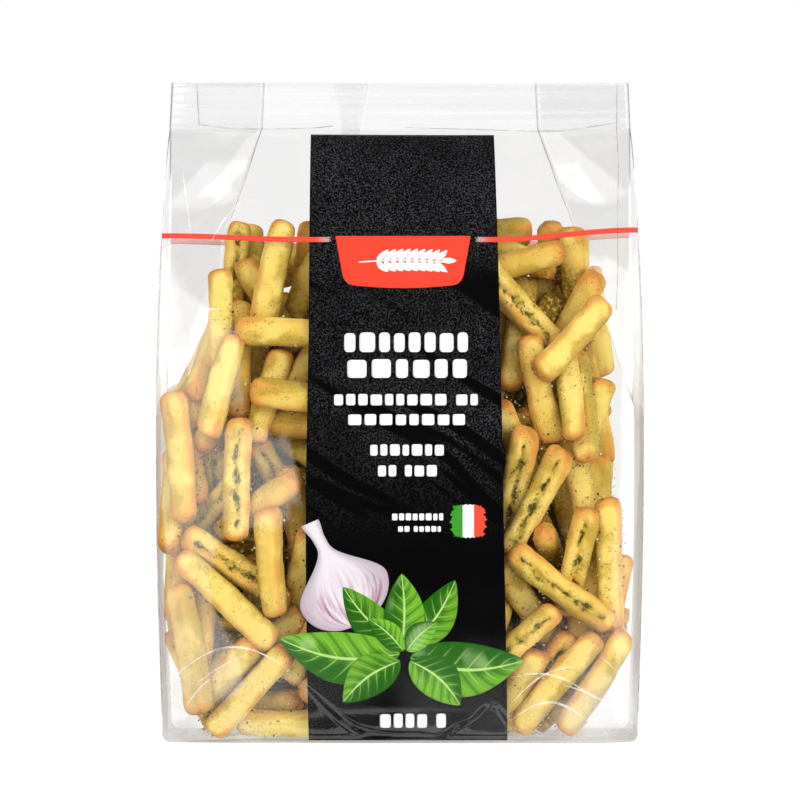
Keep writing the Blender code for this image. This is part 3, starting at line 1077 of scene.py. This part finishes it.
def lay_sticks():
    """Both ends, lengths, radii, split marks and turns of all breadsticks in the bag."""
    look = bpy.context.scene.breadstick_bag
    random = np.random.default_rng(look.seed)
    table = np.array(FRONT_STICKS, float)
    lean = np.radians(table[:, 2])
    length = table[:, 3] - 6.5
    middle = np.stack([table[:, 0], 0.0 * lean, table[:, 1]], axis=1)
    middle[:, 1] = -panel_depth(middle[:, 0], middle[:, 2], FRONT) + 5.0 + 1.3 * table[:, 4]
    along = np.stack([np.sin(lean), 0.0 * lean, np.cos(lean)], axis=1)
    hidden = look.stick_count - len(table)
    x = random.uniform(-1.0, 1.0, hidden)
    x = 0.93 * BASE_HALF_WIDTH * np.sign(x) * np.abs(x) ** 0.75
    z = random.uniform(0.03, 1.0, hidden) * pile_top(x)
    y = random.uniform(-0.55, 0.95, hidden) * (half_depth(z) - 4.0)
    turn, tilt = random.uniform(0.0, np.pi, hidden), random.normal(0.0, 0.35, hidden)
    more = np.stack([np.cos(turn) * np.cos(tilt), np.sin(tilt), np.sin(turn) * np.cos(tilt)], axis=1)
    middle = np.concatenate([middle, np.stack([x, y, z], axis=1)])
    along = np.concatenate([along, more])
    length = np.concatenate([length, random.uniform(28.0, 36.0, hidden)])
    radii = random.uniform(3.65, 4.15, len(length))
    half = along * 0.5 * length[:, None]
    ends = np.stack([middle - half, middle + half], axis=1)
    loose = np.ones((len(length), 3))
    loose[: len(table), 0] = loose[: len(table), 2] = 0.0
    ends = settle(ends, length, radii, loose)
    split = np.concatenate([table[:, 5], random.random(hidden) < 0.4])
    roll = np.radians(np.concatenate([table[:, 6], random.normal(0.0, 25.0, hidden)]))
    return ends, length, radii, split, roll


def stick_points(ends, radii, split, roll, around, along, random, towards_film):
    """Surfaces of breadsticks as one array: stick, place along, place around, xyz.

    The cross-section is a superellipse of power 3.3, nearly a square with soft corners, and
    its size wavers and tapers along the stick. It closes at each end as (1 - |s|^17)^0.48,
    on a slightly slanted cut. The middle line bends a little. A split is a ragged groove of
    Gaussian section along the side that faces the film, with raised lips.
    """
    count = len(ends)
    s = np.sin(np.linspace(-0.5 * np.pi, 0.5 * np.pi, along))[None, :, None]
    phase = np.linspace(-np.pi, np.pi, around, endpoint=False)[None, None, :]
    angle = phase - 0.5 * np.sin(phase)
    waver = random.uniform(0.0, 2.0 * np.pi, (10, count, 1, 1))
    taper = random.normal(0.0, 0.05, (2, count, 1, 1))
    radii = radii[:, None, None]
    width = radii * (1.03 + taper[0] * s + 0.035 * np.sin(2.6 * s + waver[0]) + 0.02 * np.sin(7.0 * s + waver[1]))
    height = radii * (0.95 + taper[1] * s + 0.04 * np.sin(2.2 * s + waver[2]) + 0.02 * np.sin(6.1 * s + waver[3]))
    power = 3.3
    turned = angle + roll[:, None, None]
    section = (np.abs(np.sin(turned) / width) ** power + np.abs(np.cos(turned) / height) ** power) ** (-1.0 / power)
    section = section * (1.0 + 0.02 * np.sin(6.0 * s + 2.0 * angle + waver[4]))
    section = section + 0.09 * np.sin(13.0 * s + 3.0 * angle + waver[5]) + 0.05 * np.sin(27.0 * s - 5.0 * angle + waver[8])
    opening = split[:, None, None] * smooth_step((0.90 - np.abs(s)) / 0.18)
    meander = 0.14 * np.sin(3.2 * s + waver[6]) + 0.09 * np.sin(10.5 * s + waver[7]) + 0.05 * np.sin(31.0 * s + waver[8])
    off = (angle - meander) / (0.33 + 0.11 * np.sin(7.0 * s + waver[5]) + 0.08 * np.sin(19.0 * s + waver[9]))
    groove = opening * np.exp(-off * off) * (0.75 + 0.25 * np.sin(15.0 * s + waver[7]))
    lips = opening * np.exp(-((np.abs(off) - 1.9) ** 2))
    section = section - 2.1 * groove + 0.22 * lips
    cap = np.maximum(1.0 - np.abs(s) ** 17, 0.0) ** 0.48
    section = section * cap
    middle = ends.mean(1)
    half = 0.5 * (ends[:, 1] - ends[:, 0])
    size = np.sqrt((half * half).sum(1))
    direction = half / size[:, None]
    reach = (size + 0.85 * radii[:, 0, 0])[:, None, None]
    out = towards_film - (towards_film * direction).sum(1)[:, None] * direction
    out = out / np.maximum(np.sqrt((out * out).sum(1)), 1e-6)[:, None]
    across = np.cross(direction, out)
    bend = 0.8 * np.sin(1.4 * s + waver[1]) - 0.8 * np.sin(waver[1])
    slant = 0.16 * section * np.sin(angle + waver[9]) * s**8
    lengthwise = (s * reach + slant)[..., None] * direction[:, None, None, :]
    side = (section * np.sin(angle) + bend)[..., None] * across[:, None, None, :]
    face = (section * np.cos(angle))[..., None] * out[:, None, None, :]
    points = middle[:, None, None, :] + lengthwise + side + face
    corners = np.abs(np.sin(2.0 * turned)) ** 6 * (np.cos(turned) > -0.8)
    flank = np.clip(0.5 + 0.5 * np.sin(turned) * np.sign(np.sin(waver[6])), 0.0, 1.0)
    browned = 1.15 * np.abs(s) ** 7 + 0.46 * corners + 0.36 * (1.0 - flank) ** 2 + 0.0 * section
    marks = np.stack(np.broadcast_arrays(groove, browned, 0.0 * section, flank), axis=-1).copy()
    return points, marks


def stick_faces(count, along, around):
    """Quads of the sticks' tubes, with each end closed by one face."""
    size = along * around
    tube = np.array(grid_faces(along, around, wrap=True))
    faces = [(tube + k * size).tolist() for k in range(count)]
    closed = [face for group in faces for face in group]
    for k in range(count):
        first = k * size
        last = first + size - around
        closed.append(list(range(first, first + around))[::-1])
        closed.append(list(range(last, last + around)))
    return closed


def depth_share(points):
    """How deep points lie in the heap: 0 near its outside, and 1 from 21 mm below it."""
    x, y, z = points[:, 0], points[:, 1], points[:, 2]
    behind = np.maximum(half_depth(z), 6.0) - np.abs(y)
    aside = half_width(z) - np.abs(x)
    below = 4.0 + pile_top(x) - z
    return smooth_step((np.minimum(np.minimum(behind, aside), below) - 8.0) / 13.0)


def build_stick_piece(name, chosen, layout, around, along, seed, shade):
    """Breadsticks as one mesh, with the bake's marks and a painted shade deep in the heap, partly herb dust, as
    attributes.
    """
    ends, _, radii, split, roll = (part[chosen] for part in layout)
    random = np.random.default_rng(seed)
    middle = ends.mean(1)
    towards = np.zeros_like(middle)
    towards[:, 1] = np.where(middle[:, 1] > 6.0, 1.0, -1.0)
    points, marks = stick_points(ends, radii, split, roll, around, along, random, towards)
    marks[..., 2] = random.random(len(ends))[:, None, None]
    faces = stick_faces(len(ends), along, around)
    piece = make_piece(name, points, faces, bread_material())
    set_marks(piece, "bake", marks.reshape(-1, 4))
    # Painted shade that grows with depth in the heap
    set_marks(piece, "deep", shade * depth_share(points.reshape(-1, 3))[:, None])
    return piece


def distance_to_sticks(points, ends, radii):
    """How far each point lies outside the nearest breadstick's surface."""
    start, along = ends[:, 0], ends[:, 1] - ends[:, 0]
    nearest = np.full(len(points), 1e3)
    for origin, vector, radius in zip(start, along, radii):
        off = points - origin
        share = np.clip(off @ vector / (vector @ vector), 0.0, 1.0)[:, None]
        gap = np.sqrt(((off - share * vector) ** 2).sum(1)) - radius
        nearest = np.minimum(nearest, gap)
    return nearest


def build_crumbs(layout):
    """Crumbs and herb flakes that lie in the gaps near the front and back film.

    Each grain is an eight-faced stone with uneven half lengths, turned at random.
    """
    look = bpy.context.scene.breadstick_bag
    random = np.random.default_rng(21)
    count = 9 * look.crumb_count
    x = random.uniform(-0.96, 0.96, count) * BASE_HALF_WIDTH
    z = 1.2 + (pile_top(x) - 26.0) * random.random(count) ** 1.25
    facing = np.where(random.random(count) < 0.72, FRONT, BACK)
    film = np.where(facing == FRONT, panel_depth(x, z, FRONT), panel_depth(x, z, BACK))
    depth = film - np.where(random.random(count) < 0.05, 2.2, 5.0) - 9.0 * random.random(count)
    places = np.stack([x, facing * depth, z], axis=1)
    gap = distance_to_sticks(places, layout[0], layout[2])
    resting = (gap > 0.0) & (gap < 1.6) & (depth > 1.0)
    aside = half_width(z) - np.where(x < 0.0, tuck(z, -1), tuck(z, 1))
    inside = np.abs(x) < aside - corner_gap(z, np.sign(x)) - 1.5
    places = places[resting & inside][: look.crumb_count]
    count = len(places)
    size = 0.13 + 0.32 * random.random(count) ** 4
    corners = np.array([(1, 0, 0), (-1, 0, 0), (0, 1, 0), (0, -1, 0), (0, 0, 1), (0, 0, -1)], float)
    turns = np.linalg.qr(random.normal(0.0, 1.0, (count, 3, 3)))[0]
    turns *= np.sign(np.linalg.det(turns))[:, None, None]
    halves = size[:, None] * random.uniform(0.6, 1.3, (count, 3))
    points = places[:, None, :] + (corners[None] * halves[:, None, :]) @ turns
    sides = np.array([(0, 2, 4), (2, 1, 4), (1, 3, 4), (3, 0, 4), (2, 0, 5), (1, 2, 5), (3, 1, 5), (0, 3, 5)])
    faces = (sides[None] + 6 * np.arange(count)[:, None, None]).reshape(-1, 3).tolist()
    crumbs = make_piece("crumbs", points, faces, crumb_material())
    tone = np.repeat(random.random(count), 6)
    set_marks(crumbs, "tone", np.stack([tone, tone, tone], axis=1))
    return crumbs


# ---------------------------------------------------------------- settings and operators


class BagSettings(bpy.types.PropertyGroup):
    """What a user would change about the bag and its contents."""

    seed: IntProperty(name="Seed", description="Which arrangement the hidden breadsticks take", default=5)
    stick_count: IntProperty(name="Breadsticks", description="How many lie in the bag", default=255, min=80)
    crumb_count: IntProperty(name="Crumbs", description="How many grains lie in the gaps", default=15000, min=0)
    dough_color: FloatVectorProperty(
        name="Dough", description="Pale faces of the dough", subtype="COLOR", size=3, default=(0.90, 0.69, 0.18)
    )
    dough_golden: FloatVectorProperty(
        name="Golden", description="Golden dough", subtype="COLOR", size=3, default=(0.80, 0.52, 0.095)
    )
    crust_color: FloatVectorProperty(
        name="Crust", description="Browned ends and edges", subtype="COLOR", size=3, default=(0.74, 0.36, 0.075)
    )
    toast_color: FloatVectorProperty(
        name="Toast", description="Darkest browning", subtype="COLOR", size=3, default=(0.46, 0.18, 0.035)
    )
    herb_tint: FloatVectorProperty(
        name="Herb tint", description="Dough stained by herbs", subtype="COLOR", size=3, default=(0.42, 0.30, 0.032)
    )
    herb_color: FloatVectorProperty(
        name="Herbs", description="Herbs in the splits", subtype="COLOR", size=3, default=(0.045, 0.05, 0.014)
    )
    herb_shade: FloatVectorProperty(
        name="Specks", description="Fine herb specks", subtype="COLOR", size=3, default=(0.16, 0.115, 0.018)
    )
    # Colour of the painted shade deep in the heap, which also stands for herb dust
    dust_and_shade_color: FloatVectorProperty(
        name="Dust and shade", description="Herb dust and painted shade deep in the heap", subtype="COLOR", size=3, default=(0.34, 0.20, 0.012)
    )
    light: FloatProperty(name="Light", description="Strength of the soft lights", default=1.0, min=0.0)


class BAG_OT_film(bpy.types.Operator):
    """Wraps the bag in clear film with side folds and a crimped seal"""

    bl_idname = "bag.film"
    bl_label = "Film"

    def execute(self, context):
        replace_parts(build_film(), "bag")
        build_back_seam()
        build_creases()
        build_folds()
        return {"FINISHED"}


class BAG_OT_print(bpy.types.Operator):
    """Prints the black bands and the red lines on the inside of the film"""

    bl_idname = "bag.print"
    bl_label = "Bands and lines"

    def execute(self, context):
        for facing in (FRONT, BACK):
            build_band(facing)
            build_line(facing)
        build_back_fields()
        return {"FINISHED"}


class BAG_OT_label(bpy.types.Operator):
    """Prints the plate, the rows of blocks and the stripes on the front"""

    bl_idname = "bag.label"
    bl_label = "Plate, blocks and stripes"

    def execute(self, context):
        build_plate()
        build_ear()
        build_blocks()
        build_stripes()
        return {"FINISHED"}


class BAG_OT_artwork(bpy.types.Operator):
    """Prints the bulb and the leaves on the front"""

    bl_idname = "bag.artwork"
    bl_label = "Bulb and leaves"

    def execute(self, context):
        build_bulb()
        build_leaves()
        return {"FINISHED"}


class BAG_OT_breadsticks(bpy.types.Operator):
    """Fills the bag with loose breadsticks, crumbs and herbs"""

    bl_idname = "bag.breadsticks"
    bl_label = "Breadsticks"

    def execute(self, context):
        layout = lay_sticks()
        middle = layout[0].mean(1)
        index = np.arange(len(middle))
        shown = index < len(FRONT_STICKS)
        outer = (np.abs(middle[:, 1]) > half_depth(middle[:, 2]) - 14.0) & ~shown
        contents = [
            build_stick_piece("breadsticks_front", index[shown], layout, 34, 40, 3, 0.45),
            build_stick_piece("breadsticks_outer", index[outer], layout, 22, 22, 4, 1.0),
            build_stick_piece("breadsticks_inner", index[~outer & ~shown], layout, 12, 10, 6, 1.0),
            build_crumbs(layout),
        ]
        for piece in contents:
            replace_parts(piece, "bag")
        return {"FINISHED"}


class BAG_OT_stage(bpy.types.Operator):
    """Sets a white floor, soft light and the camera"""

    bl_idname = "bag.stage"
    bl_label = "Stage"

    def execute(self, context):
        build_stage(context.scene)
        return {"FINISHED"}


def build_floor():
    """A white disc under the bag, rings of quads around a small hole under the base."""
    radius = np.concatenate([[1.0], np.linspace(200.0, 30000.0, 12)])[:, None]
    turn = np.linspace(0.0, 2.0 * np.pi, 96, endpoint=False)[None, :]
    points = np.stack([radius * np.cos(turn), radius * np.sin(turn), -0.05 + 0.0 * radius * turn], axis=-1)
    mesh = bpy.data.meshes.new("floor")
    faces = grid_faces(len(radius), 96, wrap=True)
    mesh.from_pydata((points.reshape(-1, 3) * MM).tolist(), [], [face[::-1] for face in faces])
    mesh.update()
    floor = bpy.data.objects.new("floor", mesh)
    bpy.context.scene.collection.objects.link(floor)
    material, tree, output = new_material("white_floor")
    tone = ramp(tree, noise(tree, object_coordinates(tree), 3.0), 0.2, 0.8, 0.045, 0.055)
    color = add(tree, "CombineColor", {0: tone, 1: tone, 2: tone}).outputs[0]
    inputs = {"Base Color": color, "Roughness": 1.0, "Specular IOR Level": 0.0}
    inputs.update({"Emission Color": (1.0, 1.0, 1.0, 1.0), "Emission Strength": 0.985})
    surface = add(tree, "BsdfPrincipled", inputs)
    tree.links.new(surface.outputs[0], output.inputs["Surface"])
    mesh.materials.append(material)
    floor.visible_glossy = False


def add_soft_light(name, place, target, size, power):
    """A square area light that mirrors don't show."""
    light = bpy.data.lights.new(name, "AREA")
    light.shape = "SQUARE"
    light.size = size
    light.energy = power * bpy.context.scene.breadstick_bag.light
    lamp = bpy.data.objects.new(name, light)
    bpy.context.scene.collection.objects.link(lamp)
    lamp.location = place
    away = np.array(place) - np.array(target)
    flat = math.hypot(away[0], away[1])
    lamp.rotation_euler = (math.atan2(flat, away[2]), 0.0, math.atan2(away[0], -away[1]))
    lamp.visible_glossy = False
    return lamp


def build_world(scene):
    """White to the camera, even light on rough surfaces, and panels for mirrors to show.

    Mirrors see a dim room with one bright upright panel to the left of a viewer who faces
    the bag from the front or the back, a dimmer one to the right, and a white table where
    they look steeply down.
    """
    world = bpy.data.worlds.new("white_room")
    world.use_nodes = True
    scene.world = world
    tree = world.node_tree
    tree.nodes.clear()
    output = tree.nodes.new("ShaderNodeOutputWorld")
    ray = add(tree, "LightPath").outputs
    direction = add(tree, "TexCoord").outputs["Generated"]
    part = add(tree, "SeparateXYZ", {0: direction}).outputs
    aside = times(tree, part["X"], times(tree, part["Y"], -1.0), "DIVIDE")
    left = times(tree, ramp(tree, aside, -0.17, -0.22), ramp(tree, aside, -3.2, -2.2))
    right = times(tree, ramp(tree, aside, 0.55, 0.75), ramp(tree, aside, 3.2, 2.2))
    height = times(tree, ramp(tree, part["Z"], -0.20, -0.13), ramp(tree, part["Z"], 0.50, 0.42))
    panels = times(tree, times(tree, left, 2.6), times(tree, right, 2.4), "ADD")
    patches = ramp(tree, noise(tree, direction, 5.0, 1.0), 0.46, 0.52, 0.05, 1.2)
    ahead = ramp(tree, add(tree, "Math", {0: aside}, operation="ABSOLUTE").outputs[0], 0.6, 0.4)
    table = times(tree, times(tree, ramp(tree, part["Z"], -0.36, -0.41), ahead), patches)
    mirror = times(tree, times(tree, panels, height), times(tree, table, 0.022, "ADD"), "ADD")
    rough = add(tree, "Background", {"Color": (1.0, 1.0, 1.0, 1.0), "Strength": 0.37})
    shiny = add(tree, "Background", {"Color": (1.0, 1.0, 1.0, 1.0), "Strength": mirror})
    seen = add(tree, "Background", {"Color": (1.0, 1.0, 1.0, 1.0), "Strength": 1.0})
    lit = add(tree, "MixShader", {0: ray["Is Glossy Ray"], 1: rough.outputs[0], 2: shiny.outputs[0]})
    whole = add(tree, "MixShader", {0: ray["Is Camera Ray"], 1: lit.outputs[0], 2: seen.outputs[0]})
    tree.links.new(whole.outputs[0], output.inputs["Surface"])


def build_stage(scene):
    """Floor, world, lights and a level camera in front of the bag."""
    scene.view_settings.view_transform = "Standard"
    build_floor()
    build_world(scene)
    target = (0.0, 0.0, 0.09)
    add_soft_light("key", (-0.40, -1.25, 0.80), target, 0.7, 6.4)
    add_soft_light("fill", (0.80, -1.10, 0.45), target, 0.8, 10.4)
    add_soft_light("top", (0.0, -0.3, 1.5), target, 1.4, 8.5)
    add_soft_light("rear", (0.3, 1.4, 0.6), target, 1.0, 5.0)
    camera = bpy.data.cameras.new("camera")
    eye = bpy.data.objects.new("camera", camera)
    scene.collection.objects.link(eye)
    distance, view_width = 1.1, 1.192 * HEIGHT * MM
    camera.sensor_width = 36.0
    camera.lens = camera.sensor_width * distance / view_width
    camera.clip_end = 60.0
    eye.location = (0.0, LOW.y - distance, 0.514 * HEIGHT * MM)
    eye.rotation_euler = (0.5 * math.pi, 0.0, 0.0)
    scene.camera = eye


class BAG_PT_panel(bpy.types.Panel):
    """Lists the bag's settings and the operators in the order in which they run"""

    bl_idname = "BAG_PT_panel"
    bl_label = "Breadstick Bag"
    bl_space_type = "VIEW_3D"
    bl_region_type = "UI"
    bl_category = "Bag"

    def draw(self, context):
        for name in BagSettings.__annotations__:
            self.layout.prop(context.scene.breadstick_bag, name)
        for operator in OPERATORS:
            self.layout.operator(operator.bl_idname)


OPERATORS = (BAG_OT_film, BAG_OT_print, BAG_OT_label, BAG_OT_artwork, BAG_OT_breadsticks, BAG_OT_stage)
CLASSES = (BagSettings, *OPERATORS, BAG_PT_panel)


def register():
    for cls in CLASSES:
        bpy.utils.register_class(cls)
    bpy.types.Scene.breadstick_bag = PointerProperty(type=BagSettings)


def unregister():
    del bpy.types.Scene.breadstick_bag
    for cls in reversed(CLASSES):
        bpy.utils.unregister_class(cls)


def main():
    register()
    bpy.ops.bag.film()
    bpy.ops.bag.print()
    bpy.ops.bag.label()
    bpy.ops.bag.artwork()
    bpy.ops.bag.breadsticks()
    bpy.ops.bag.stage()


if __name__ == "__main__":
    main()
